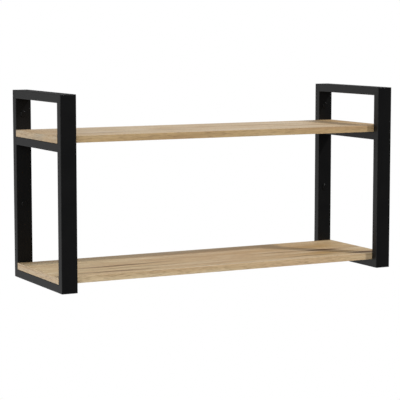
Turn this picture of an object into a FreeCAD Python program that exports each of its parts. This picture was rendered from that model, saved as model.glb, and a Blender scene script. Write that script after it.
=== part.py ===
import FreeCAD, Part
import math
import os
import Sketcher

# A wall shelf: two welded end frames of black steel tube carry two oak-decor boards,
# which lie between the uprights on the middle and bottom rails. Caps close the holes
# through which the wall screws are driven.
# X runs along the wall, Y points into the wall and Z points up. The origin is the
# centre of the four wall holes, on the plane of the wall.

# Driving dimensions, in millimetres
SIZES = {
    "shelf_length": 900,        # over the outer faces of the two end frames
    "shelf_depth": 300,         # from the wall to the front of the frames
    "lower_bay": 289,           # clear height from the lower board to the middle rail
    "upper_bay": 76,            # clear height from the upper board to the top rail
    "tube_face": 40,            # tube width along the shelf
    "tube_side": 20,            # tube width in the plane of the frame
    "tube_wall": 1.5,
    "tube_radius": 2,           # outer corners of the tube
    "tube_inner_radius": 0.5,
    "corner_radius": 1.5,       # outer corners of the frame, ground after welding
    "weld_leg": 2.5,            # bead left in an inner corner of the frame
    "wall_hole": 6,             # diameter, in the back of a rear upright
    "cap_hole": 12,             # diameter, in the front of a rear upright
    "cap_hole_gap": 0.1,        # round the stem of a cap
    "cap_diameter": 15,
    "cap_height": 2,            # in front of the upright
    "cap_edge_radius": 1.2,
    "cap_stem": 4,              # length of the hollow stem
    "cap_stem_wall": 1.2,
    "cap_catch": 0.3,           # how far the catch stands out from the stem
    "board_thickness": 16,
    "board_gap": 0.5,           # between a board's long edge and the uprights
    "band_thickness": 1,
    "band_edge_radius": 0.5,
    "band_flat": 0.2,           # least of a band's thickness that its rounding leaves flat
    "screw_diameter": 4,
    "screw_cover": 4.5,         # board left above the tip of a screw
    "screw_point": 4,           # length of the tapered tip
    "screw_head": 8,            # diameter
    "screw_head_height": 3,
    "screw_head_radius": 1.2,
    "screw_edge_distance": 50,  # from a board's long edge to the screw
    "screw_hole_gap": 0.25,     # round the screw in the upper wall of a rail
    "access_gap": 1,            # round the screw head in the lower wall of a rail
    "recess_width": 1.1,        # one wing of the cross recess
    "recess_reach": 2.2,        # from the screw's axis to the end of a wing
    "recess_floor": 1.4,        # metal left under the recess
}

# Places that follow from the driving dimensions, as expressions; heights are above the feet
FRAME_HEIGHT = "(3 * sizes.tube_side + 2 * sizes.board_thickness + sizes.lower_bay + sizes.upper_bay)"
MIDDLE_RAIL_TOP = "(2 * sizes.tube_side + sizes.board_thickness + sizes.lower_bay)"
LOWER_HOLE = "(sizes.tube_side + sizes.board_thickness + sizes.lower_bay / 2)"
UPPER_HOLE = f"({MIDDLE_RAIL_TOP} + sizes.board_thickness + sizes.upper_bay / 2)"
FEET = f"(-({LOWER_HOLE} + {UPPER_HOLE}) / 2)"
MIDDLE = "(-sizes.shelf_depth / 2)"
FRAME_X = "((sizes.shelf_length - sizes.tube_face) / 2)"
BAY_DEPTH = "(sizes.shelf_depth - 2 * sizes.tube_side)"
BOARD_DEPTH = f"({BAY_DEPTH} - 2 * sizes.board_gap)"
SCREW_Y = f"({BOARD_DEPTH} / 2 - sizes.screw_edge_distance)"
SCREW_BITE = "(sizes.board_thickness - sizes.screw_cover)"
SCREW_LENGTH = f"(sizes.tube_wall + {SCREW_BITE})"
CAP_STEM_RADIUS = "(sizes.cap_hole / 2 - sizes.cap_hole_gap)"
MITRE_OVERRUN = "sizes.tube_side"  # how far a mitre's cut runs past the tube
BAND_ROUNDING = "min(sizes.band_edge_radius; sizes.band_thickness - sizes.band_flat)"

X_AXIS = FreeCAD.Vector(1, 0, 0)
Z_AXIS = FreeCAD.Vector(0, 0, 1)
ORIGIN_POINT = (-1, 1)
HORIZONTAL_AXIS = -1
VERTICAL_AXIS = -2
START, END, CENTRE = range(1, 4)  # the points of an edge, as sketches count them
TINY = 1e-6

doc = FreeCAD.newDocument("wall_shelf")
sizes = doc.addObject("Spreadsheet::Sheet", "sizes")
for row, (alias, value) in enumerate(SIZES.items(), start=1):
    sizes.set(f"A{row}", alias)
    sizes.set(f"B{row}", str(value))
    sizes.setAlias(f"B{row}", alias)
doc.recompute()

nodes = []


def new_body(label, x, y, z, axis=Z_AXIS, angle=0):
    """A named piece, turned by the angle and placed at three expressions."""
    body = doc.addObject("PartDesign::Body", label)
    body.Label = label
    body.Placement = FreeCAD.Placement(FreeCAD.Vector(), FreeCAD.Rotation(axis, angle))
    body.setExpression("Placement.Base.x", x)
    body.setExpression("Placement.Base.y", y)
    body.setExpression("Placement.Base.z", z)
    nodes.append(body)
    return body


def origin_feature(body, role):
    """One of the body's own origin planes or axes."""
    feature = next(item for item in body.Origin.OriginFeatures if item.Role == role)
    return (feature, [""])


def new_sketch(body, name, role, offset=None):
    """A sketch on an origin plane, moved along its normal by an expression if one is given."""
    sketch = body.newObject("Sketcher::SketchObject", name)
    sketch.AttachmentSupport = origin_feature(body, role)
    sketch.MapMode = "FlatFace"
    if offset:
        sketch.setExpression("AttachmentOffset.Base.z", offset)
    return sketch


def constrain(sketch, kind, *where):
    """A constraint without a size."""
    sketch.addConstraint(Sketcher.Constraint(kind, *where))


def dimension(sketch, name, expression, kind, *where):
    """A constraint whose size follows an expression."""
    value = sketch.evalExpression(expression)
    index = sketch.addConstraint(Sketcher.Constraint(kind, *where, value))
    sketch.renameConstraint(index, name)
    sketch.setExpression(f"Constraints.{name}", expression)


def add_line(sketch, start, end):
    """A line between two points given as pairs of numbers."""
    return sketch.addGeometry(Part.LineSegment(FreeCAD.Vector(*start), FreeCAD.Vector(*end)))


def add_arc(sketch, centre, radius, first_angle, last_angle):
    """An arc that runs anticlockwise between two angles in degrees."""
    circle = Part.Circle(FreeCAD.Vector(*centre), Z_AXIS, radius)
    arc = Part.ArcOfCircle(circle, math.radians(first_angle), math.radians(last_angle))
    return sketch.addGeometry(arc)


def close_chain(sketch, chain):
    """Joins the end of each line or arc to the start of the next one, and the last to the first."""
    for one, following in zip(chain, chain[1:] + chain[:1]):
        constrain(sketch, "Coincident", one, END, following, START)


def add_rectangle(sketch, name, width, height):
    """A rectangle about the origin; its sizes are expressions."""
    half_x = sketch.evalExpression(width) / 2
    half_y = sketch.evalExpression(height) / 2
    corners = [(-half_x, -half_y), (half_x, -half_y), (half_x, half_y), (-half_x, half_y)]
    bottom, right, top, left = [
        add_line(sketch, start, end) for start, end in zip(corners, corners[1:] + corners[:1])
    ]
    close_chain(sketch, [bottom, right, top, left])
    for line in (bottom, top):
        constrain(sketch, "Horizontal", line)
    for line in (right, left):
        constrain(sketch, "Vertical", line)
    constrain(sketch, "Symmetric", bottom, START, top, START, *ORIGIN_POINT)
    dimension(sketch, f"{name}_width", width, "DistanceX", bottom, START, bottom, END)
    dimension(sketch, f"{name}_height", height, "DistanceY", right, START, right, END)


def add_rounded_rectangle(sketch, name, width, height, radius):
    """A rectangle with rounded corners about the origin; its sizes are expressions."""
    corner = sketch.evalExpression(radius)
    x = sketch.evalExpression(width) / 2 - corner
    y = sketch.evalExpression(height) / 2 - corner
    bottom = add_line(sketch, (-x, -y - corner), (x, -y - corner))
    right = add_line(sketch, (x + corner, -y), (x + corner, y))
    top = add_line(sketch, (x, y + corner), (-x, y + corner))
    left = add_line(sketch, (-x - corner, y), (-x - corner, -y))
    lines = [bottom, right, top, left]
    centres = [(x, -y), (x, y), (-x, y), (-x, -y)]
    arcs = [
        add_arc(sketch, centre, corner, 90 * turn - 90, 90 * turn) for turn, centre in enumerate(centres)
    ]
    for line, arc, following in zip(lines, arcs, lines[1:] + lines[:1]):
        constrain(sketch, "Tangent", line, END, arc, START)
        constrain(sketch, "Tangent", arc, END, following, START)
    for line in (bottom, top):
        constrain(sketch, "Horizontal", line)
    for line in (right, left):
        constrain(sketch, "Vertical", line)
    for arc in arcs[1:]:
        constrain(sketch, "Equal", arcs[0], arc)
    constrain(sketch, "Symmetric", arcs[0], CENTRE, arcs[2], CENTRE, *ORIGIN_POINT)
    dimension(sketch, f"{name}_radius", radius, "Radius", arcs[0])
    dimension(sketch, f"{name}_width", width, "DistanceX", left, START, right, START)
    dimension(sketch, f"{name}_height", height, "DistanceY", bottom, START, top, START)


def add_circle(sketch, name, x, y, diameter):
    """A circle whose place and diameter are expressions."""
    centre = FreeCAD.Vector(sketch.evalExpression(x), sketch.evalExpression(y))
    circle = sketch.addGeometry(Part.Circle(centre, Z_AXIS, sketch.evalExpression(diameter) / 2))
    dimension(sketch, f"{name}_x", x, "DistanceX", *ORIGIN_POINT, circle, CENTRE)
    dimension(sketch, f"{name}_y", y, "DistanceY", *ORIGIN_POINT, circle, CENTRE)
    dimension(sketch, f"{name}_diameter", diameter, "Diameter", circle)


def pad(body, name, sketch, length, side="Symmetric"):
    """The sketch thickened to a length, to both sides of its plane unless told otherwise."""
    feature = body.newObject("PartDesign::Pad", name)
    feature.Profile = sketch
    feature.SideType = side
    feature.setExpression("Length", length)
    doc.recompute()
    return feature


def cut(body, name, sketch, depth=None, side="One side", reverse=False):
    """The sketch cut out of the body, right through or to a depth."""
    doc.recompute()
    before = body.Shape.Volume
    feature = body.newObject("PartDesign::Pocket", name)
    feature.Profile = sketch
    feature.SideType = side
    feature.Reversed = reverse
    if depth:
        feature.setExpression("Length", depth)
    else:
        feature.Type = "ThroughAll"
    doc.recompute()
    if body.Shape.Volume > before - TINY:
        raise RuntimeError(f"{name} of {body.Label} cuts nothing")
    return feature


def mirror(body, name, features, role):
    """The features repeated across an origin plane, or the whole body where none are given."""
    feature = body.newObject("PartDesign::Mirrored", name)
    if features:
        feature.Originals = features
    else:
        feature.TransformMode = "Whole shape"
    feature.MirrorPlane = origin_feature(body, role)
    body.Tip = feature
    doc.recompute()


def repeat_at_screws(body, name, features):
    """The features, or the whole body, repeated from the first screw's place at the other three."""
    feature = body.newObject("PartDesign::LinearPattern", name)
    if features:
        feature.Originals = features
    else:
        feature.TransformMode = "Whole shape"
    feature.Direction = origin_feature(body, "X_Axis")
    feature.Occurrences = 2
    feature.setExpression("Length", f"2 * {FRAME_X}")
    feature.Direction2 = origin_feature(body, "Y_Axis")
    feature.Occurrences2 = 2
    feature.setExpression("Length2", f"2 * {SCREW_Y}")
    body.Tip = feature
    doc.recompute()


def add_tube(body, length):
    """Rectangular steel tube along the body's own Z, half of it to each side of the origin."""
    section = new_sketch(body, "section", "XY_Plane")
    add_rounded_rectangle(section, "outside", "sizes.tube_face", "sizes.tube_side", "sizes.tube_radius")
    inner_face = "sizes.tube_face - 2 * sizes.tube_wall"
    inner_side = "sizes.tube_side - 2 * sizes.tube_wall"
    add_rounded_rectangle(section, "inside", inner_face, inner_side, "sizes.tube_inner_radius")
    pad(body, "tube", section, length)


def mitre_ends(body, length):
    """Both ends cut at 45 degrees from the outer face at -Y, with the frame's corner rounded off."""
    sketch = new_sketch(body, "mitre", "YZ_Plane")
    half_side = sketch.evalExpression("sizes.tube_side") / 2
    past = sketch.evalExpression(MITRE_OVERRUN)
    radius = sketch.evalExpression("sizes.corner_radius")
    end = -sketch.evalExpression(length) / 2
    centre = (radius - half_side, end + radius)
    tip = radius * math.sqrt(0.5)
    on_face = (-half_side, end + radius)
    on_mitre = (centre[0] - tip, centre[1] - tip)
    past_mitre = (half_side + past, end + 2 * half_side + past)
    inner_corner = (half_side + past, end - past)
    outer_corner = (-half_side - past, end - past)
    beside_face = (-half_side - past, end + radius)
    corner = add_arc(sketch, centre, radius, 180, 225)
    mitre = add_line(sketch, on_mitre, past_mitre)
    inner_edge = add_line(sketch, past_mitre, inner_corner)
    end_edge = add_line(sketch, inner_corner, outer_corner)
    outer_edge = add_line(sketch, outer_corner, beside_face)
    closing_edge = add_line(sketch, beside_face, on_face)
    close_chain(sketch, [corner, mitre, inner_edge, end_edge, outer_edge, closing_edge])
    for line in (inner_edge, outer_edge):
        constrain(sketch, "Vertical", line)
    for line in (end_edge, closing_edge):
        constrain(sketch, "Horizontal", line)
    constrain(sketch, "Horizontal", corner, CENTRE, corner, START)
    constrain(sketch, "PointOnObject", corner, CENTRE, mitre)
    dimension(sketch, "corner_radius", "sizes.corner_radius", "Radius", corner)
    dimension(
        sketch, "corner_y", "sizes.corner_radius - sizes.tube_side / 2",
        "DistanceX", *ORIGIN_POINT, corner, CENTRE,
    )
    dimension(
        sketch, "corner_z", f"sizes.corner_radius - {length} / 2",
        "DistanceY", *ORIGIN_POINT, corner, CENTRE,
    )
    beyond = f"sizes.tube_side / 2 + {MITRE_OVERRUN}"
    below = f"sizes.corner_radius + {MITRE_OVERRUN}"
    rise = f"sizes.tube_side + 2 * {MITRE_OVERRUN}"
    dimension(sketch, "past_end", below, "DistanceY", end_edge, END, corner, CENTRE)
    dimension(sketch, "past_face", beyond, "DistanceX", end_edge, END, *ORIGIN_POINT)
    dimension(sketch, "past_inside", beyond, "DistanceX", *ORIGIN_POINT, end_edge, START)
    dimension(sketch, "mitre_rise", rise, "DistanceY", inner_edge, END, inner_edge, START)
    first_end = cut(body, "first_mitre", sketch, side="Symmetric")
    mirror(body, "other_mitre", [first_end], "XY_Plane")


def drill_pair(body, name, first_z, second_z, diameter, reverse=False):
    """Two round holes on the tube's centre line, in its wall at +Y, or at -Y where reversed."""
    sketch = new_sketch(body, name, "XZ_Plane")
    for tag, z in (("first", first_z), ("second", second_z)):
        place = FreeCAD.Vector(0, sketch.evalExpression(z))
        circle = sketch.addGeometry(Part.Circle(place, Z_AXIS, sketch.evalExpression(diameter) / 2))
        constrain(sketch, "PointOnObject", circle, CENTRE, VERTICAL_AXIS)
        dimension(sketch, f"{tag}_z", z, "DistanceY", *ORIGIN_POINT, circle, CENTRE)
        dimension(sketch, f"{tag}_diameter", diameter, "Diameter", circle)
    cut(body, f"{name}_cut", sketch, reverse=reverse)


def drill_for_screws(body):
    """Screw holes in a rail's upper wall, and wider holes in its lower wall to reach the heads."""
    clear = "sizes.screw_diameter + 2 * sizes.screw_hole_gap"
    access = "sizes.screw_head + 2 * sizes.access_gap"
    drill_pair(body, "screw_holes", SCREW_Y, f"-{SCREW_Y}", clear)
    drill_pair(body, "access_holes", SCREW_Y, f"-{SCREW_Y}", access, reverse=True)


def make_frame(side, x):
    """One end frame: two uprights and three rails of the same tube."""
    upright_z = f"{FEET} + {FRAME_HEIGHT} / 2"
    front = new_body(f"{side}_front_upright", x, "sizes.tube_side / 2 - sizes.shelf_depth", upright_z)
    add_tube(front, FRAME_HEIGHT)
    mitre_ends(front, FRAME_HEIGHT)

    rear = new_body(f"{side}_rear_upright", x, "-sizes.tube_side / 2", upright_z, Z_AXIS, 180)
    add_tube(rear, FRAME_HEIGHT)
    mitre_ends(rear, FRAME_HEIGHT)
    hole_heights = (f"{LOWER_HOLE} - {FRAME_HEIGHT} / 2", f"{UPPER_HOLE} - {FRAME_HEIGHT} / 2")
    drill_pair(rear, "wall_holes", *hole_heights, "sizes.wall_hole", reverse=True)
    drill_pair(rear, "cap_holes", *hole_heights, "sizes.cap_hole")

    top_z = f"{FEET} + {FRAME_HEIGHT} - sizes.tube_side / 2"
    top = new_body(f"{side}_top_rail", x, MIDDLE, top_z, X_AXIS, -90)
    add_tube(top, "sizes.shelf_depth")
    mitre_ends(top, "sizes.shelf_depth")

    middle_z = f"{FEET} + {MIDDLE_RAIL_TOP} - sizes.tube_side / 2"
    middle = new_body(f"{side}_middle_rail", x, MIDDLE, middle_z, X_AXIS, 90)
    add_tube(middle, BAY_DEPTH)
    drill_for_screws(middle)

    bottom_z = f"{FEET} + sizes.tube_side / 2"
    bottom = new_body(f"{side}_bottom_rail", x, MIDDLE, bottom_z, X_AXIS, 90)
    add_tube(bottom, "sizes.shelf_depth")
    mitre_ends(bottom, "sizes.shelf_depth")
    drill_for_screws(bottom)


def add_bead(sketch, name, corner_z):
    """Section of a bead under a rail: a quarter disc in the corner behind the front upright."""
    leg = sketch.evalExpression("sizes.weld_leg")
    y = -sketch.evalExpression(BAY_DEPTH) / 2
    z = sketch.evalExpression(corner_z)
    down = add_line(sketch, (y, z), (y, z - leg))
    bulge = add_arc(sketch, (y, z), leg, 270, 360)
    along = add_line(sketch, (y + leg, z), (y, z))
    close_chain(sketch, [down, bulge, along])
    constrain(sketch, "Coincident", bulge, CENTRE, down, START)
    constrain(sketch, "Vertical", down)
    constrain(sketch, "Horizontal", along)
    dimension(sketch, f"{name}_leg", "sizes.weld_leg", "Radius", bulge)
    dimension(sketch, f"{name}_y", f"{BAY_DEPTH} / 2", "DistanceX", down, START, *ORIGIN_POINT)
    dimension(sketch, f"{name}_z", corner_z, "DistanceY", *ORIGIN_POINT, down, START)


def add_flush_fill(sketch):
    """Section of the fill between a middle rail's end and the rounded corner of the upright."""
    radius = sketch.evalExpression("sizes.tube_radius")
    x = -sketch.evalExpression("sizes.tube_face") / 2
    y = -sketch.evalExpression(BAY_DEPTH) / 2
    on_rail = add_line(sketch, (x + radius, y), (x, y))
    on_side = add_line(sketch, (x, y), (x, y - radius))
    hollow = add_arc(sketch, (x + radius, y - radius), radius, 90, 180)
    constrain(sketch, "Coincident", on_rail, END, on_side, START)
    constrain(sketch, "Coincident", on_side, END, hollow, END)
    constrain(sketch, "Coincident", on_rail, START, hollow, START)
    constrain(sketch, "Horizontal", on_rail)
    constrain(sketch, "Vertical", on_side)
    constrain(sketch, "Vertical", hollow, CENTRE, hollow, START)
    constrain(sketch, "Horizontal", hollow, CENTRE, hollow, END)
    dimension(sketch, "fill_radius", "sizes.tube_radius", "Radius", hollow)
    dimension(sketch, "fill_x", "sizes.tube_face / 2", "DistanceX", on_rail, END, *ORIGIN_POINT)
    dimension(sketch, "fill_y", f"{BAY_DEPTH} / 2", "DistanceY", on_rail, END, *ORIGIN_POINT)


def make_frame_welds(side, x):
    """Weld metal of one frame: beads under the top and middle rails, and the middle rail's fill."""
    frame_middle = f"{FRAME_HEIGHT} / 2"
    body = new_body(f"{side}_frame_welds", x, MIDDLE, f"{FEET} + {frame_middle}")
    beads = new_sketch(body, "beads", "YZ_Plane")
    add_bead(beads, "top", f"{frame_middle} - sizes.tube_side")
    add_bead(beads, "middle", f"{MIDDLE_RAIL_TOP} - sizes.tube_side - {frame_middle}")
    pad(body, "front_beads", beads, "sizes.tube_face - 2 * sizes.tube_radius")
    rail_middle = f"{MIDDLE_RAIL_TOP} - sizes.tube_side / 2 - {frame_middle}"
    fill = new_sketch(body, "fill", "XY_Plane", rail_middle)
    add_flush_fill(fill)
    left_fill = pad(body, "front_left_fill", fill, "sizes.tube_side - 2 * sizes.tube_radius")
    mirror(body, "front_right_fill", [left_fill], "YZ_Plane")
    mirror(body, "rear_welds", [], "XZ_Plane")


def add_cap_section(sketch):
    """Half of a cap's section: the flange below the origin, the hollow stem with its catch above."""
    flange = sketch.evalExpression("sizes.cap_diameter") / 2
    height = sketch.evalExpression("sizes.cap_height")
    curve = sketch.evalExpression("sizes.cap_edge_radius")
    outside = sketch.evalExpression(CAP_STEM_RADIUS)
    inside = outside - sketch.evalExpression("sizes.cap_stem_wall")
    length = sketch.evalExpression("sizes.cap_stem")
    grip = sketch.evalExpression("sizes.tube_wall")
    catch = sketch.evalExpression("sizes.cap_catch")
    face = add_line(sketch, (0, -height), (flange - curve, -height))
    edge = add_arc(sketch, (flange - curve, curve - height), curve, 270, 360)
    rim = add_line(sketch, (flange, curve - height), (flange, 0))
    seat = add_line(sketch, (flange, 0), (outside, 0))
    neck = add_line(sketch, (outside, 0), (outside, grip))
    step = add_line(sketch, (outside, grip), (outside + catch, grip + catch))
    lead_in = add_line(sketch, (outside + catch, grip + catch), (outside, length))
    end = add_line(sketch, (outside, length), (inside, length))
    bore = add_line(sketch, (inside, length), (inside, 0))
    floor = add_line(sketch, (inside, 0), (0, 0))
    axis = add_line(sketch, (0, 0), (0, -height))
    close_chain(sketch, [face, edge, rim, seat, neck, step, lead_in, end, bore, floor, axis])
    for line in (face, seat, end, floor):
        constrain(sketch, "Horizontal", line)
    for line in (rim, neck, bore, axis):
        constrain(sketch, "Vertical", line)
    constrain(sketch, "Vertical", edge, CENTRE, edge, START)
    constrain(sketch, "Horizontal", edge, CENTRE, edge, END)
    constrain(sketch, "Coincident", axis, START, *ORIGIN_POINT)
    constrain(sketch, "PointOnObject", seat, START, HORIZONTAL_AXIS)
    constrain(sketch, "Vertical", neck, START, lead_in, END)
    dimension(sketch, "flange_radius", "sizes.cap_diameter / 2", "DistanceX", *ORIGIN_POINT, rim, END)
    dimension(sketch, "flange_height", "sizes.cap_height", "DistanceY", face, START, *ORIGIN_POINT)
    dimension(sketch, "flange_edge", "sizes.cap_edge_radius", "Radius", edge)
    dimension(sketch, "stem_radius", CAP_STEM_RADIUS, "DistanceX", *ORIGIN_POINT, neck, START)
    dimension(sketch, "stem_length", "sizes.cap_stem", "DistanceY", *ORIGIN_POINT, end, START)
    dimension(sketch, "stem_wall", "sizes.cap_stem_wall", "DistanceX", end, END, end, START)
    dimension(sketch, "grip", "sizes.tube_wall", "DistanceY", *ORIGIN_POINT, step, START)
    dimension(sketch, "catch_out", "sizes.cap_catch", "DistanceX", step, START, step, END)
    dimension(sketch, "catch_rise", "sizes.cap_catch", "DistanceY", step, START, step, END)


def make_hole_caps(side, x):
    """Two caps that snap into the front of one frame's rear upright, over its wall holes."""
    body = new_body(f"{side}_hole_caps", x, "-sizes.tube_side", f"{FEET} + {UPPER_HOLE}", X_AXIS, -90)
    half_section = new_sketch(body, "half_section", "XZ_Plane")
    add_cap_section(half_section)
    cap = body.newObject("PartDesign::Revolution", "cap")
    cap.Profile = half_section
    cap.ReferenceAxis = origin_feature(body, "Z_Axis")
    pair = body.newObject("PartDesign::LinearPattern", "caps")
    pair.TransformMode = "Whole shape"
    pair.Direction = origin_feature(body, "Y_Axis")
    pair.Occurrences = 2
    pair.setExpression("Length", f"{UPPER_HOLE} - {LOWER_HOLE}")
    body.Tip = pair


def make_board(level, underside):
    """A board with screw holes in its underside; the bands cover its four edges."""
    board = new_body(f"{level}_board", "0", MIDDLE, underside)
    outline = new_sketch(board, "outline", "XY_Plane")
    add_rectangle(
        outline, "board", "sizes.shelf_length - 2 * sizes.band_thickness",
        f"{BOARD_DEPTH} - 2 * sizes.band_thickness",
    )
    pad(board, "panel", outline, "sizes.board_thickness", side="One side")
    pilot = new_sketch(board, "pilot", "XY_Plane")
    add_circle(pilot, "pilot", f"-{FRAME_X}", f"-{SCREW_Y}", "sizes.screw_diameter")
    first_hole = cut(board, "first_pilot_hole", pilot, depth=SCREW_BITE, reverse=True)
    repeat_at_screws(board, "pilot_holes", [first_hole])


def make_band(label, x, y, z, angle, length, ends_show):
    """An edge band whose outer face looks along its own -Y, with that face's free edges rounded."""
    band = new_body(label, x, y, z, Z_AXIS, angle)
    section = new_sketch(band, "section", "YZ_Plane")
    add_rectangle(section, "band", "sizes.band_thickness", "sizes.board_thickness")
    strip = pad(band, "strip", section, length)
    outer_y = -strip.evalExpression("sizes.band_thickness") / 2
    outer_edges = []
    for number, edge in enumerate(strip.Shape.Edges, start=1):
        on_outer_face = all(abs(vertex.Y - outer_y) < TINY for vertex in edge.Vertexes)
        upright_edge = abs(edge.tangentAt(edge.FirstParameter).z) > 1 - TINY
        if on_outer_face and (ends_show or not upright_edge):
            outer_edges.append(f"Edge{number}")
    rounding = band.newObject("PartDesign::Fillet", "rounding")
    rounding.Base = (strip, outer_edges)
    rounding.setExpression("Radius", BAND_ROUNDING)
    doc.recompute()


def make_bands(level, underside):
    """The long bands run from end to end of a board; the short bands lie between them."""
    z = f"{underside} + sizes.board_thickness / 2"
    out_y = f"({BOARD_DEPTH} - sizes.band_thickness) / 2"
    out_x = "(sizes.shelf_length - sizes.band_thickness) / 2"
    long_side = "sizes.shelf_length"
    short_side = f"{BOARD_DEPTH} - 2 * sizes.band_thickness"
    make_band(f"{level}_front_edge_band", "0", f"{MIDDLE} - {out_y}", z, 0, long_side, True)
    make_band(f"{level}_rear_edge_band", "0", f"{MIDDLE} + {out_y}", z, 180, long_side, True)
    make_band(f"{level}_left_edge_band", f"-{out_x}", MIDDLE, z, -90, short_side, False)
    make_band(f"{level}_right_edge_band", out_x, MIDDLE, z, 90, short_side, False)


def add_screw_section(sketch):
    """Half of a pan-head screw's section: the head hangs below its seat at the origin."""
    shank = sketch.evalExpression("sizes.screw_diameter") / 2
    head = sketch.evalExpression("sizes.screw_head") / 2
    height = sketch.evalExpression("sizes.screw_head_height")
    curve = sketch.evalExpression("sizes.screw_head_radius")
    tip = sketch.evalExpression(SCREW_LENGTH)
    point = sketch.evalExpression("sizes.screw_point")
    end_face = add_line(sketch, (0, -height), (head - curve, -height))
    edge = add_arc(sketch, (head - curve, curve - height), curve, 270, 360)
    rim = add_line(sketch, (head, curve - height), (head, 0))
    under_head = add_line(sketch, (head, 0), (shank, 0))
    stem = add_line(sketch, (shank, 0), (shank, tip - point))
    taper = add_line(sketch, (shank, tip - point), (0, tip))
    axis = add_line(sketch, (0, tip), (0, -height))
    close_chain(sketch, [end_face, edge, rim, under_head, stem, taper, axis])
    for line in (end_face, under_head):
        constrain(sketch, "Horizontal", line)
    for line in (rim, stem, axis):
        constrain(sketch, "Vertical", line)
    constrain(sketch, "Vertical", edge, CENTRE, edge, START)
    constrain(sketch, "Horizontal", edge, CENTRE, edge, END)
    constrain(sketch, "PointOnObject", axis, START, VERTICAL_AXIS)
    constrain(sketch, "PointOnObject", under_head, START, HORIZONTAL_AXIS)
    dimension(sketch, "head_radius", "sizes.screw_head / 2", "DistanceX", *ORIGIN_POINT, rim, END)
    dimension(sketch, "shank_radius", "sizes.screw_diameter / 2", "DistanceX", *ORIGIN_POINT, stem, START)
    dimension(sketch, "head_height", "sizes.screw_head_height", "DistanceY", end_face, START, *ORIGIN_POINT)
    dimension(sketch, "head_edge", "sizes.screw_head_radius", "Radius", edge)
    dimension(sketch, "tip_height", SCREW_LENGTH, "DistanceY", *ORIGIN_POINT, taper, END)
    dimension(sketch, "point_length", "sizes.screw_point", "DistanceY", taper, START, taper, END)


def add_recess_wing(sketch):
    """One wing of a cross recess, from the screw's axis outwards."""
    half_width = sketch.evalExpression("sizes.recess_width") / 2
    reach = sketch.evalExpression("sizes.recess_reach")
    near = add_line(sketch, (0, -half_width), (reach, -half_width))
    far_end = add_line(sketch, (reach, -half_width), (reach, half_width))
    far = add_line(sketch, (reach, half_width), (0, half_width))
    inner_end = add_line(sketch, (0, half_width), (0, -half_width))
    close_chain(sketch, [near, far_end, far, inner_end])
    for line in (near, far):
        constrain(sketch, "Horizontal", line)
    for line in (far_end, inner_end):
        constrain(sketch, "Vertical", line)
    constrain(sketch, "Symmetric", inner_end, START, inner_end, END, *ORIGIN_POINT)
    dimension(sketch, "wing_width", "sizes.recess_width", "DistanceY", far_end, START, far_end, END)
    dimension(sketch, "wing_reach", "sizes.recess_reach", "DistanceX", near, START, near, END)


def make_screws(level, underside):
    """Four pan-head screws, seated on the inside of the rails' upper walls."""
    seat = f"{underside} - sizes.tube_wall"
    body = new_body(f"{level}_board_screws", f"-{FRAME_X}", f"{MIDDLE} - {SCREW_Y}", seat)
    half_section = new_sketch(body, "half_section", "XZ_Plane")
    add_screw_section(half_section)
    screw = body.newObject("PartDesign::Revolution", "screw")
    screw.Profile = half_section
    screw.ReferenceAxis = origin_feature(body, "Z_Axis")
    wing = new_sketch(body, "recess_wing", "XY_Plane", "-sizes.screw_head_height")
    add_recess_wing(wing)
    depth = "sizes.screw_head_height - sizes.recess_floor"
    first_wing = cut(body, "first_wing", wing, depth=depth, reverse=True)
    recess = body.newObject("PartDesign::PolarPattern", "cross_recess")
    recess.Originals = [first_wing]
    recess.Axis = origin_feature(body, "Z_Axis")
    recess.Angle = 360
    recess.Occurrences = 4
    body.Tip = recess
    repeat_at_screws(body, "screws", [])


for side, x in (("left", f"-{FRAME_X}"), ("right", FRAME_X)):
    make_frame(side, x)
    make_frame_welds(side, x)
    make_hole_caps(side, x)
boards = {"upper": f"({FEET} + {MIDDLE_RAIL_TOP})", "lower": f"({FEET} + sizes.tube_side)"}
for level, underside in boards.items():
    make_board(level, underside)
    make_bands(level, underside)
    make_screws(level, underside)
doc.recompute()

failed = [item.Label for item in doc.Objects if {"Invalid", "Error"} & set(item.State)]
failed += [node.Label for node in nodes if node.Shape.isNull() or not node.Shape.isValid()]
if failed:
    raise RuntimeError(f"these did not build: {failed}")
os.makedirs("parts", exist_ok=True)
for node in nodes:
    node.Shape.exportStep(f"parts/{node.Label}.step")
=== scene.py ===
import math

import bpy
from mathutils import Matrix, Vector


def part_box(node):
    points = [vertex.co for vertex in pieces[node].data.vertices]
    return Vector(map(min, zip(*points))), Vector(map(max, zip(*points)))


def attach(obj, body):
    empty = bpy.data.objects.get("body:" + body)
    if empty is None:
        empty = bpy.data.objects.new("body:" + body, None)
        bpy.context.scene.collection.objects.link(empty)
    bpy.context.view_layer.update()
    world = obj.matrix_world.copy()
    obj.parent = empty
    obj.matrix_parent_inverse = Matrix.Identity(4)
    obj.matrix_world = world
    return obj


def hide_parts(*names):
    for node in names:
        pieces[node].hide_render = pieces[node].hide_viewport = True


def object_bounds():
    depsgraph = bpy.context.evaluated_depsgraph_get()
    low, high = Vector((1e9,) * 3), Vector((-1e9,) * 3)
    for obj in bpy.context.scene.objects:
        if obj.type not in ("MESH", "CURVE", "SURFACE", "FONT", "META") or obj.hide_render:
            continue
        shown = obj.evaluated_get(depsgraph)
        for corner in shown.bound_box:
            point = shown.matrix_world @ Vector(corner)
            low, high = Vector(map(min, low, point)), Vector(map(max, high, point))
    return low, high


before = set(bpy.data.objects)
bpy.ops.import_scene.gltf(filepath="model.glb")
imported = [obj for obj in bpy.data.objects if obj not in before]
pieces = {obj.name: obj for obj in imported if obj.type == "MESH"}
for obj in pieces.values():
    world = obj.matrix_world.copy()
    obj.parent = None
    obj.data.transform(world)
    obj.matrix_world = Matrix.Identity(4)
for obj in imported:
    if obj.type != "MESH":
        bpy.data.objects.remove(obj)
cad_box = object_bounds()

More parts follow.
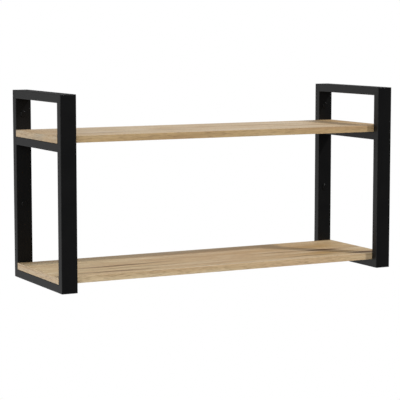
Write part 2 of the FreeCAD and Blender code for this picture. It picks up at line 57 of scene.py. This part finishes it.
# End frames
# Two frames of 40 x 20 mm steel tube, mitred and welded, then coated as one in black
# powder, which is baked to a skin that runs over every joint.
MM = 0.001
SIDES = ("left", "right")
TUBES = ("front_upright", "rear_upright", "top_rail", "middle_rail", "bottom_rail")
COAT_BLACK = "#080809"
COAT_GREY = "#0f0f0f"
COAT_PEBBLE = 1.2 * MM      # real pebbles are near 0.4 mm, drawn coarser so that they show
COAT_PEBBLE_RISE = 0.045 * MM
COAT_CLOUD = 60 * MM
COAT_ROUGHNESS = (0.36, 0.46)
NOISE_LOW, NOISE_HIGH = 0.3, 0.7    # most of a noise texture's values lie between these
COAT_SPECULAR = 0.22


def linear(hex_colour):
    """Linear RGBA of an sRGB hex colour."""
    shares = [int(hex_colour[digit:digit + 2], 16) / 255 for digit in (1, 3, 5)]
    return [s / 12.92 if s <= 0.04045 else ((s + 0.055) / 1.055) ** 2.4 for s in shares] + [1.0]


def new_material(name):
    """A material with an empty node tree, and its tree."""
    material = bpy.data.materials.new(name)
    material.use_nodes = True
    material.node_tree.nodes.clear()
    return material, material.node_tree


def add_node(tree, kind, inputs=None, stops=(), **settings):
    """Adds a shader node with its settings; an input takes a value or a socket, a ramp its stops."""
    made = tree.nodes.new("ShaderNode" + kind)
    for setting, value in settings.items():
        setattr(made, setting, value)
    for socket, value in (inputs or {}).items():
        if isinstance(value, bpy.types.NodeSocket):
            tree.links.new(value, made.inputs[socket])
        else:
            made.inputs[socket].default_value = value
    for number, (position, hex_colour) in enumerate(stops):
        if number == len(made.color_ramp.elements):
            made.color_ramp.elements.new(position)
        stop = made.color_ramp.elements[number]
        stop.position, stop.color = position, linear(hex_colour)
    return made


# Baked polyester powder: dull and nearly black face on, grey at a slant, finely pebbled
coat, tree = new_material("black_powder_coat")
place = add_node(tree, "TexCoord").outputs["Object"]
pebble = add_node(tree, "TexNoise", {"Vector": place, "Scale": 1 / COAT_PEBBLE, "Detail": 2.0})
cloud = add_node(tree, "TexNoise", {"Vector": place, "Scale": 1 / COAT_CLOUD, "Detail": 4.0})
colour = add_node(
    tree, "ValToRGB", {"Fac": cloud.outputs["Fac"]}, stops=((0.35, COAT_BLACK), (0.75, COAT_GREY))
)
roughness = add_node(
    tree, "MapRange",
    {
        "Value": pebble.outputs["Fac"], "From Min": NOISE_LOW, "From Max": NOISE_HIGH,
        "To Min": COAT_ROUGHNESS[0], "To Max": COAT_ROUGHNESS[1],
    },
)
relief = add_node(
    tree, "Bump",
    {"Height": pebble.outputs["Fac"], "Strength": 0.6, "Distance": COAT_PEBBLE_RISE},
)
skin = add_node(
    tree, "BsdfPrincipled",
    {
        "Base Color": colour.outputs["Color"],
        "Roughness": roughness.outputs["Result"],
        "Normal": relief.outputs["Normal"],
        "Specular IOR Level": COAT_SPECULAR,
    },
)
add_node(tree, "OutputMaterial", {"Surface": skin.outputs["BSDF"]})

for side in SIDES:
    for tube in TUBES:
        pieces[f"{side}_{tube}"].data.materials[0] = coat

# Frame welds
# Fillet beads, left as welded in the inner corners under the top and middle rails, where no
# grinder reaches, and the fills ground flush at the ends of the middle rail, all coated over.
BEAD_LEG = 2.5 * MM
BEAD_LENGTH = 36 * MM
BEAD_SIDES = 32
RIPPLE = 1.5 * MM
RIPPLE_DIP = 0.84       # share of the leg that is left between two ripples
RIPPLE_BULGE = 0.4 * MM
BEAD_END = 0.55         # share of the leg that is left where the weld starts and stops
JUST_OFF = 0.1 * MM
SAME_POINT = 0.001 * MM
SMOOTH_BELOW = math.radians(50)
left_rail_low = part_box("left_top_rail")[0].z
drop_to_middle_rail = left_rail_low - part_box("left_middle_rail")[0].z
upright_low, upright_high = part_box("left_front_upright")
corner = Vector(((upright_low.x + upright_high.x) / 2, upright_high.y, left_rail_low))
frame_middle = Vector((corner.x, (cad_box[0].y + cad_box[1].y) / 2, 0))
shelf_axis = Vector((0, frame_middle.y, 0))


def pick(piece, wanted):
    """In edit mode, selects only the vertices whose place passes a test."""
    bpy.ops.mesh.select_all(action="DESELECT")
    bpy.ops.object.mode_set(mode="OBJECT")
    for vertex in piece.data.vertices:
        vertex.select = wanted(vertex.co)
    bpy.ops.object.mode_set(mode="EDIT")


def copied(piece, move=Vector(), half_turn_about=None):
    """A moved copy of a finished piece, with a half turn about an upright line if one is named."""
    bpy.ops.object.select_all(action="DESELECT")
    piece.select_set(True)
    bpy.context.view_layer.objects.active = piece
    bpy.ops.object.duplicate()
    copy = bpy.context.object
    bpy.ops.transform.translate(value=move)
    if half_turn_about:
        bpy.ops.transform.rotate(value=math.pi, orient_axis="Z", center_override=half_turn_about)
    bpy.ops.object.transform_apply(location=True, rotation=True, scale=True)
    return copy


# one bead: a quarter of a round bar, cut across at each crest and dip and drawn in at the dips
bpy.ops.object.select_all(action="DESELECT")
bpy.ops.mesh.primitive_cylinder_add(
    vertices=BEAD_SIDES, radius=BEAD_LEG, depth=BEAD_LENGTH, location=corner, rotation=(0, math.pi / 2, 0)
)
bead = bpy.context.object
bpy.ops.object.transform_apply(location=True, rotation=True, scale=True)
bpy.ops.object.mode_set(mode="EDIT")
for kept_side in ((0, 1, 0), (0, 0, -1)):
    bpy.ops.mesh.select_all(action="SELECT")
    bpy.ops.mesh.bisect(plane_co=corner, plane_no=kept_side, use_fill=True, clear_inner=True)
bead_start = corner.x - BEAD_LENGTH / 2
cuts = round(2 * BEAD_LENGTH / RIPPLE)
for cut in range(1, cuts):
    bpy.ops.mesh.select_all(action="SELECT")
    bpy.ops.mesh.bisect(plane_co=(bead_start + cut * RIPPLE / 2, 0, 0), plane_no=(1, 0, 0))
pick(bead, lambda place: round((place.x - bead_start) / (RIPPLE / 2)) % 2)
bpy.ops.transform.resize(value=(1, RIPPLE_DIP, RIPPLE_DIP), center_override=corner)
pick(bead, lambda place: abs(place.x - corner.x) > BEAD_LENGTH / 2 - JUST_OFF)
bpy.ops.transform.resize(value=(1, BEAD_END, BEAD_END), center_override=corner)
pick(bead, lambda place: min(place.y - corner.y, corner.z - place.z) > BEAD_LEG / 3)
bpy.ops.transform.translate(value=(RIPPLE_BULGE, 0, 0))
bpy.ops.object.mode_set(mode="OBJECT")

upper_and_lower = [bead, copied(bead, move=Vector((0, 0, -drop_to_middle_rail)))]
beads = upper_and_lower + [copied(one, half_turn_about=frame_middle) for one in upper_and_lower]

# the fills: a copy of the CAD welds without their plain beads
left_welds = bpy.data.objects.new("left_weld_metal", pieces["left_frame_welds"].data.copy())
bpy.context.scene.collection.objects.link(left_welds)
bpy.ops.object.select_all(action="DESELECT")
left_welds.select_set(True)
bpy.context.view_layer.objects.active = left_welds
bpy.ops.object.mode_set(mode="EDIT")
bpy.ops.mesh.select_all(action="SELECT")
bpy.ops.mesh.remove_doubles(threshold=SAME_POINT)
rail_low, rail_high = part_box("left_middle_rail")
pick(left_welds, lambda place: not rail_low.z + JUST_OFF < place.z < rail_high.z)
bpy.ops.mesh.delete(type="VERT")
bpy.ops.object.mode_set(mode="OBJECT")

for one in beads:
    one.select_set(True)
bpy.ops.object.join()
left_welds.data.materials.clear()
left_welds.data.materials.append(coat)
bpy.ops.object.shade_smooth_by_angle(angle=SMOOTH_BELOW)
right_welds = copied(left_welds, half_turn_about=shelf_axis)
right_welds.name = "right_weld_metal"
for side, welds in zip(SIDES, (left_welds, right_welds)):
    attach(welds, "root")
    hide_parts(f"{side}_frame_welds")

# Hole caps
# Round caps of black moulded plastic, snapped into the fronts of the rear uprights over the
# heads of the wall screws.
CAP_BLACK = "#0a0a0a"
CAP_RUBBED = "#111111"
CAP_GRAIN = 0.9 * MM        # the mould's spark-eroded grain is near 0.1 mm, drawn coarser to show
CAP_GRAIN_RISE = 0.01 * MM
CAP_ROUGHNESS = 0.32
CAP_SPECULAR = 0.24
# Moulded polyethylene: black like the coat round it, but smoother, so that its round edge glints
cap_plastic, tree = new_material("black_moulded_plastic")
place = add_node(tree, "TexCoord").outputs["Object"]
mould_grain = add_node(tree, "TexNoise", {"Vector": place, "Scale": 1 / CAP_GRAIN, "Detail": 2.0})
colour = add_node(
    tree, "ValToRGB", {"Fac": mould_grain.outputs["Fac"]}, stops=((0.35, CAP_BLACK), (0.75, CAP_RUBBED))
)
relief = add_node(
    tree, "Bump", {"Height": mould_grain.outputs["Fac"], "Strength": 0.5, "Distance": CAP_GRAIN_RISE}
)
moulding = add_node(
    tree, "BsdfPrincipled",
    {
        "Base Color": colour.outputs["Color"],
        "Roughness": CAP_ROUGHNESS,
        "Normal": relief.outputs["Normal"],
        "Specular IOR Level": CAP_SPECULAR,
    },
)
add_node(tree, "OutputMaterial", {"Surface": moulding.outputs["BSDF"]})
for side in SIDES:
    pieces[f"{side}_hole_caps"].data.materials[0] = cap_plastic

# Boards
# Two 16 mm chipboard panels faced with a matt printed oak, grain along the shelf. They
# lie on the middle and bottom rails and are screwed down from below.
LEVELS = ("upper", "lower")
# where each board lies in the oak's pattern, in metres
BOARD_LOGS = {"upper": (0.3, 0.12, 0.0), "lower": (1.7, 0.14, 0.02)}
# three tones that drift over a face, from the palest on, paled and greyed by a painted sheen, more so on
# the upper board
FACE_TONES_AND_SHEEN = {
    "upper": ("#e4d8c4", "#d4c0a2", "#cdb59b"),
    "lower": ("#e2d6bb", "#d2be98", "#cab18f"),
}
TONE_STOPS = (0.34, 0.5, 0.66)
OAK_LATE = "#ba9c72"
OAK_STREAK = "#87653f"
OAK_PORE = "#6f5133"
OAK_GOLD = "#be9760"
OAK_ROSE = "#bf956f"
OAK_KNOT_AND_SHADE = "#a98243"
OAK_VEIN = "#5b3307"
# grain: how long and wide in mm, how much finer detail, and how bent
GRAIN = {
    "tone": (420, 30, 4.0, 0.0),
    "streak": (320, 13, 3.0, 0.4),
    "fibre": (70, 2, 2.0, 0.0),     # real fibres are near 0.3 mm wide, drawn coarser to show
    "pore": (16, 0.8, 0.0, 0.0),    # real pores are near 0.2 mm wide, drawn coarser to show
}
RING_WIDTH = 7 * MM
RING_STRETCH = 0.12         # how fast the rings change along the log, next to across it
RING_WOBBLE = 5.0
WAVE_PERIOD = math.tau / 20     # distance between two rings of the wave texture at scale 1
LOG_TILT = (0, math.radians(30), math.radians(14))
HEART_DEPTH = 70 * MM
PORE_DEPTH = 0.05 * MM
OAK_ROUGHNESS = (0.42, 0.52)
MARK_WANDER, MARK_WAVE = 24 * MM, 130 * MM
MARK_FRAY = 1.6             # how far the fibres fray a mark
MARK_EDGE, MARK_CORE = 1.8, 1.1     # frayed distances at which a mark ends and is full
# single marks in the print, one partly painted shade, in mm: from one x to another along about one y, how
# wide, which colour and how much of it at most
MARKS = {
    "upper": (
        (-540, -320, -150, 420, OAK_GOLD, 0.35),
        (290, 650, -150, 800, OAK_GOLD, 0.6),
        # partly print and partly painted shade, where the right frame's top rail shades the board's back
        # corner
        (365, 545, -75, 105, OAK_KNOT_AND_SHADE, 0.6),
        (-390, -190, -205, 13, OAK_VEIN, 0.6),
        (-215, -20, -170, 12, OAK_VEIN, 0.5),
        (60, 330, -120, 12, OAK_STREAK, 0.7),
    ),
    "lower": (
        (-230, 330, -130, 460, OAK_ROSE, 0.28),
        (-20, 640, -150, 720, OAK_GOLD, 0.36),
        (225, 425, -112, 66, OAK_KNOT_AND_SHADE, 0.6),
        (225, 410, -215, 52, OAK_KNOT_AND_SHADE, 0.65),
        (-400, -90, -170, 15, OAK_VEIN, 0.9),
        (-440, -150, -246, 15, OAK_VEIN, 0.9),
        (100, 300, -160, 12, OAK_VEIN, 0.7),
        (256, 396, -174, 29, OAK_VEIN, 1.0),
        (150, 352, -243, 14, OAK_VEIN, 0.8),
        (338, 482, -250, 33, OAK_VEIN, 0.95),
    ),
}


# Melamine pressed over oak-printed paper: pale and warm, drawn out along the grain in streaks, brown
# veins and short dark pores, with a soft sheen that pales it at a slant
def oak_decor(name, log_place, tones, turn=0.0, figure=1.0, marks=()):
    """Printed oak at a place in the pattern, turned about Z, with more or less figure, and with marks."""
    material, tree = new_material(name)
    place = add_node(tree, "TexCoord").outputs["Object"]
    along = add_node(
        tree, "Mapping", {"Vector": place, "Rotation": (0, 0, turn), "Location": log_place}
    ).outputs["Vector"]

    grain = {}
    for kind, (length, width, detail, bend) in GRAIN.items():
        scale = (1 / (length * MM), 1 / (width * MM), 1 / (width * MM))
        drawn_out = add_node(tree, "Mapping", {"Vector": along, "Scale": scale})
        grain[kind] = add_node(
            tree, "TexNoise",
            {"Vector": drawn_out.outputs["Vector"], "Scale": 1.0, "Detail": detail, "Distortion": bend},
        ).outputs["Fac"]
    log = add_node(
        tree, "Mapping",
        {
            "Vector": along, "Scale": (RING_STRETCH, 1, 1), "Rotation": LOG_TILT,
            "Location": (0, 0, HEART_DEPTH),
        },
    )
    rings = add_node(
        tree, "TexWave",
        {
            "Vector": log.outputs["Vector"], "Scale": WAVE_PERIOD / RING_WIDTH, "Distortion": RING_WOBBLE,
            "Detail": 3.0, "Detail Scale": 0.5,
        },
        wave_type="RINGS", rings_direction="X", wave_profile="SIN",
    )

    # what is printed over the tones, in turn: a value, where it starts and is full, its share and colour
    layers = [
        (rings.outputs["Fac"], 0.0, 1.0, 0.42 * figure, OAK_LATE),
        (grain["fibre"], 0.4, 0.75, 0.4, OAK_LATE),
        (grain["streak"], 0.54, 0.74, 0.75 * figure, OAK_STREAK),
    ]
    wander = add_node(tree, "TexNoise", {"Vector": place, "Scale": 1 / MARK_WAVE, "Detail": 3.0})
    wandered = add_node(
        tree, "VectorMath",
        {0: wander.outputs["Color"], 1: (0, MARK_WANDER, 0), 2: place}, operation="MULTIPLY_ADD",
    )
    for start, end, line, width, hex_colour, most in marks:
        scale = Vector((2 / (end - start), 2 / width, 0)) / MM
        middle = Vector(((start + end) / 2 * MM, line * MM + MARK_WANDER / 2, 0))
        lens = add_node(
            tree, "Mapping",
            {"Vector": wandered.outputs["Vector"], "Scale": scale, "Location": -scale * middle},
        )
        off_line = add_node(tree, "VectorMath", {0: lens.outputs["Vector"]}, operation="LENGTH")
        frayed = add_node(
            tree, "Math", {0: grain["fibre"], 1: MARK_FRAY, 2: off_line.outputs["Value"]},
            operation="MULTIPLY_ADD",
        )
        layers.append((frayed.outputs[0], MARK_EDGE, MARK_CORE, most, hex_colour))
    layers.append((grain["pore"], 0.6, 0.7, 0.5, OAK_PORE))

    colour = add_node(
        tree, "ValToRGB", {"Fac": grain["tone"]}, stops=zip(TONE_STOPS, tones)
    ).outputs["Color"]
    for value, none, full, most, hex_colour in layers:
        share = add_node(
            tree, "MapRange",
            {"Value": value, "From Min": none, "From Max": full, "To Min": 0.0, "To Max": most},
        ).outputs["Result"]
        # sockets 6 and 7 are the two colours that are mixed
        colour = add_node(
            tree, "Mix", {0: share, 6: colour, 7: linear(hex_colour)}, data_type="RGBA"
        ).outputs[2]

    roughness = add_node(
        tree, "MapRange",
        {
            "Value": grain["fibre"], "From Min": NOISE_LOW, "From Max": NOISE_HIGH,
            "To Min": OAK_ROUGHNESS[0], "To Max": OAK_ROUGHNESS[1],
        },
    )
    # the last layer's share is the pores', which are also pressed in
    relief = add_node(
        tree, "Bump", {"Height": share, "Strength": 0.5, "Distance": PORE_DEPTH}, invert=True
    )
    face = add_node(
        tree, "BsdfPrincipled",
        {
            "Base Color": colour,
            "Roughness": roughness.outputs["Result"],
            "Normal": relief.outputs["Normal"],
        },
    )
    add_node(tree, "OutputMaterial", {"Surface": face.outputs["BSDF"]})
    return material


for level in LEVELS:
    pieces[f"{level}_board"].data.materials[0] = oak_decor(
        f"{level}_oak_face", BOARD_LOGS[level], FACE_TONES_AND_SHEEN[level], marks=MARKS[level]
    )

# Edge bands
# Strips of 1 mm plastic band, printed with the same oak and glued on all four edges of
# each board; their outer edges are rounded by the trimming cutter.
BAND_LOGS = {"upper": (0.9, 0.1, 0.03), "lower": (2.6, 0.1, 0.05)}
# the bands of the long edges are more golden and plainer than the faces, those of the ends greyer as a
# painted pale light
# the lower long bands are paler, partly a tone of their own and partly painted light
LONG_BAND_TONES_AND_LIGHT = {
    "upper": ("#cab28a", "#bfa275", "#bd9973"),
    "lower": ("#dbc7a3", "#d3b890", "#cfb08c"),
}
LONG_BAND_FIGURE = 0.35
# the upper end bands are darkened as painted shade
END_BAND_TONES_AND_LIGHT = {
    "upper": ("#aea38f", "#a19279", "#9d8b73"),
    "lower": ("#c7bda6", "#baaa8d", "#b5a287"),
}
END_BAND_TURN = math.radians(90)
for level in LEVELS:
    long_band = oak_decor(
        f"{level}_oak_long_band", BAND_LOGS[level], LONG_BAND_TONES_AND_LIGHT[level], figure=LONG_BAND_FIGURE
    )
    end_band = oak_decor(
        f"{level}_oak_end_band", BAND_LOGS[level], END_BAND_TONES_AND_LIGHT[level], turn=END_BAND_TURN
    )
    for edge in ("front", "rear"):
        pieces[f"{level}_{edge}_edge_band"].data.materials[0] = long_band
    for edge in SIDES:
        pieces[f"{level}_{edge}_edge_band"].data.materials[0] = end_band

# Board screws
# Pan-head wood screws of zinc-plated steel. They are driven up through the rails into the
# boards, with their heads inside the tubes, behind the driver's holes.
ZINC_BRIGHT = "#b9bcbd"
ZINC_DULL = "#a7a9a6"
ZINC_BLOOM = 3 * MM
ZINC_ROUGHNESS = 0.32
# Barrel-plated zinc: a bright metal with a cool tint, clouded by a thin, duller bloom
zinc, tree = new_material("bright_zinc_plate")
place = add_node(tree, "TexCoord").outputs["Object"]
bloom = add_node(tree, "TexNoise", {"Vector": place, "Scale": 1 / ZINC_BLOOM, "Detail": 3.0})
colour = add_node(
    tree, "ValToRGB", {"Fac": bloom.outputs["Fac"]},
    stops=((NOISE_LOW, ZINC_BRIGHT), (NOISE_HIGH, ZINC_DULL)),
)
plate = add_node(
    tree, "BsdfPrincipled",
    {"Base Color": colour.outputs["Color"], "Metallic": 1.0, "Roughness": ZINC_ROUGHNESS},
)
add_node(tree, "OutputMaterial", {"Surface": plate.outputs["BSDF"]})
for level in LEVELS:
    pieces[f"{level}_board_screws"].data.materials[0] = zinc

# Floor, light and camera
# A white floor, as far below as under a shelf on a wall. A pale wall, ceiling and floor give
# soft studio light, a lamp at the front right throws the shadows, and the lens is long.
WHITE = "#ffffff"
HUNG_HEIGHT = 1.4
FLOOR_SIDE = 60
bpy.ops.object.select_all(action="DESELECT")
bpy.ops.mesh.primitive_plane_add(size=FLOOR_SIDE, location=(0, 0, cad_box[0].z - HUNG_HEIGHT))
floor = bpy.context.object
floor.name = "floor"
# White floor paint in full light: an even white without an edge or a shadow
white, tree = new_material("white_floor_paint")
glow = add_node(tree, "Emission", {"Color": linear(WHITE), "Strength": 1.0})
add_node(tree, "OutputMaterial", {"Surface": glow.outputs["Emission"]})
floor.data.materials.append(white)
# the light that the floor throws back on the shelf is the dome's pale floor, so this one gives none
floor.visible_glossy = False
floor.visible_diffuse = False

studio = bpy.data.worlds.new("studio")
studio.use_nodes = True
tree = studio.node_tree
tree.nodes.clear()
# each side's glow: which way it lies, how far towards it the glow starts and is full, and how bright
DOME = {
    "left_wall": ((-1.0, 0.2, -0.15), 0.4, 0.85, 1.36),
    "ceiling": ((0.0, 0.0, 1.0), 0.0, 0.8, 0.62),
    "pale_floor": ((0.0, 0.0, -1.0), 0.05, 0.3, 0.38),
}
direction = add_node(tree, "TexCoord").outputs["Generated"]
strength = 0.0
for towards, start, full, share in DOME.values():
    towards = Vector(towards).normalized()
    facing = add_node(tree, "VectorMath", {0: direction, 1: towards}, operation="DOT_PRODUCT")
    glow = add_node(
        tree, "MapRange",
        {
            "Value": facing.outputs["Value"], "From Min": start, "From Max": full,
            "To Min": 0.0, "To Max": share,
        },
    )
    strength = add_node(
        tree, "Math", {0: glow.outputs["Result"], 1: strength}, operation="ADD"
    ).outputs[0]
surround = add_node(tree, "Background", {"Color": linear(WHITE), "Strength": strength})
backdrop = add_node(tree, "Background", {"Color": linear(WHITE), "Strength": 1.0})
ray = add_node(tree, "LightPath")
seen = add_node(
    tree, "MixShader",
    {0: ray.outputs["Is Camera Ray"], 1: surround.outputs[0], 2: backdrop.outputs[0]},
)
add_node(tree, "OutputWorld", {"Surface": seen.outputs[0]})
bpy.context.scene.world = studio

SHELF_MIDDLE = (cad_box[0] + cad_box[1]) / 2
# each lamp: which way it lies, how far off and how wide it is in metres, and how bright
LIGHTS = {
    "key_front_right": ((0.678, -0.678, 1.0), 12.0, 0.6, 0.58),
    "panel_front_left": ((-0.5, -0.8, 0.3), 3.5, 1.6, 0.25),
}
for name, (towards, distance, width, share) in LIGHTS.items():
    towards = Vector(towards).normalized()
    lamp = bpy.data.lights.new(name, "AREA")
    lamp.shape = "SQUARE"
    lamp.size = width
    # a small square light of power P gives P / (pi d^2) of irradiance at distance d
    lamp.energy = share * math.pi * math.pi * distance ** 2
    holder = bpy.data.objects.new(name, lamp)
    holder.location = SHELF_MIDDLE + towards * distance
    holder.rotation_euler = (-towards).to_track_quat("-Z", "Y").to_euler()
    bpy.context.scene.collection.objects.link(holder)

# the camera was fitted to the shelf's straight edges in the photograph
CAMERA_PLACE = (-1.81429, -3.60121, 0.32551)
CAMERA_TURN = math.radians(27.527)
CAMERA_DIP = math.radians(6.370)
CAMERA_LENS = 141.863
view = bpy.data.cameras.new("camera")
view.lens = CAMERA_LENS
camera = bpy.data.objects.new("camera", view)
camera.location = CAMERA_PLACE
camera.rotation_euler = (math.pi / 2 - CAMERA_DIP, 0, -CAMERA_TURN)
bpy.context.scene.collection.objects.link(camera)
bpy.context.scene.camera = camera
bpy.context.scene.view_settings.view_transform = "Standard"
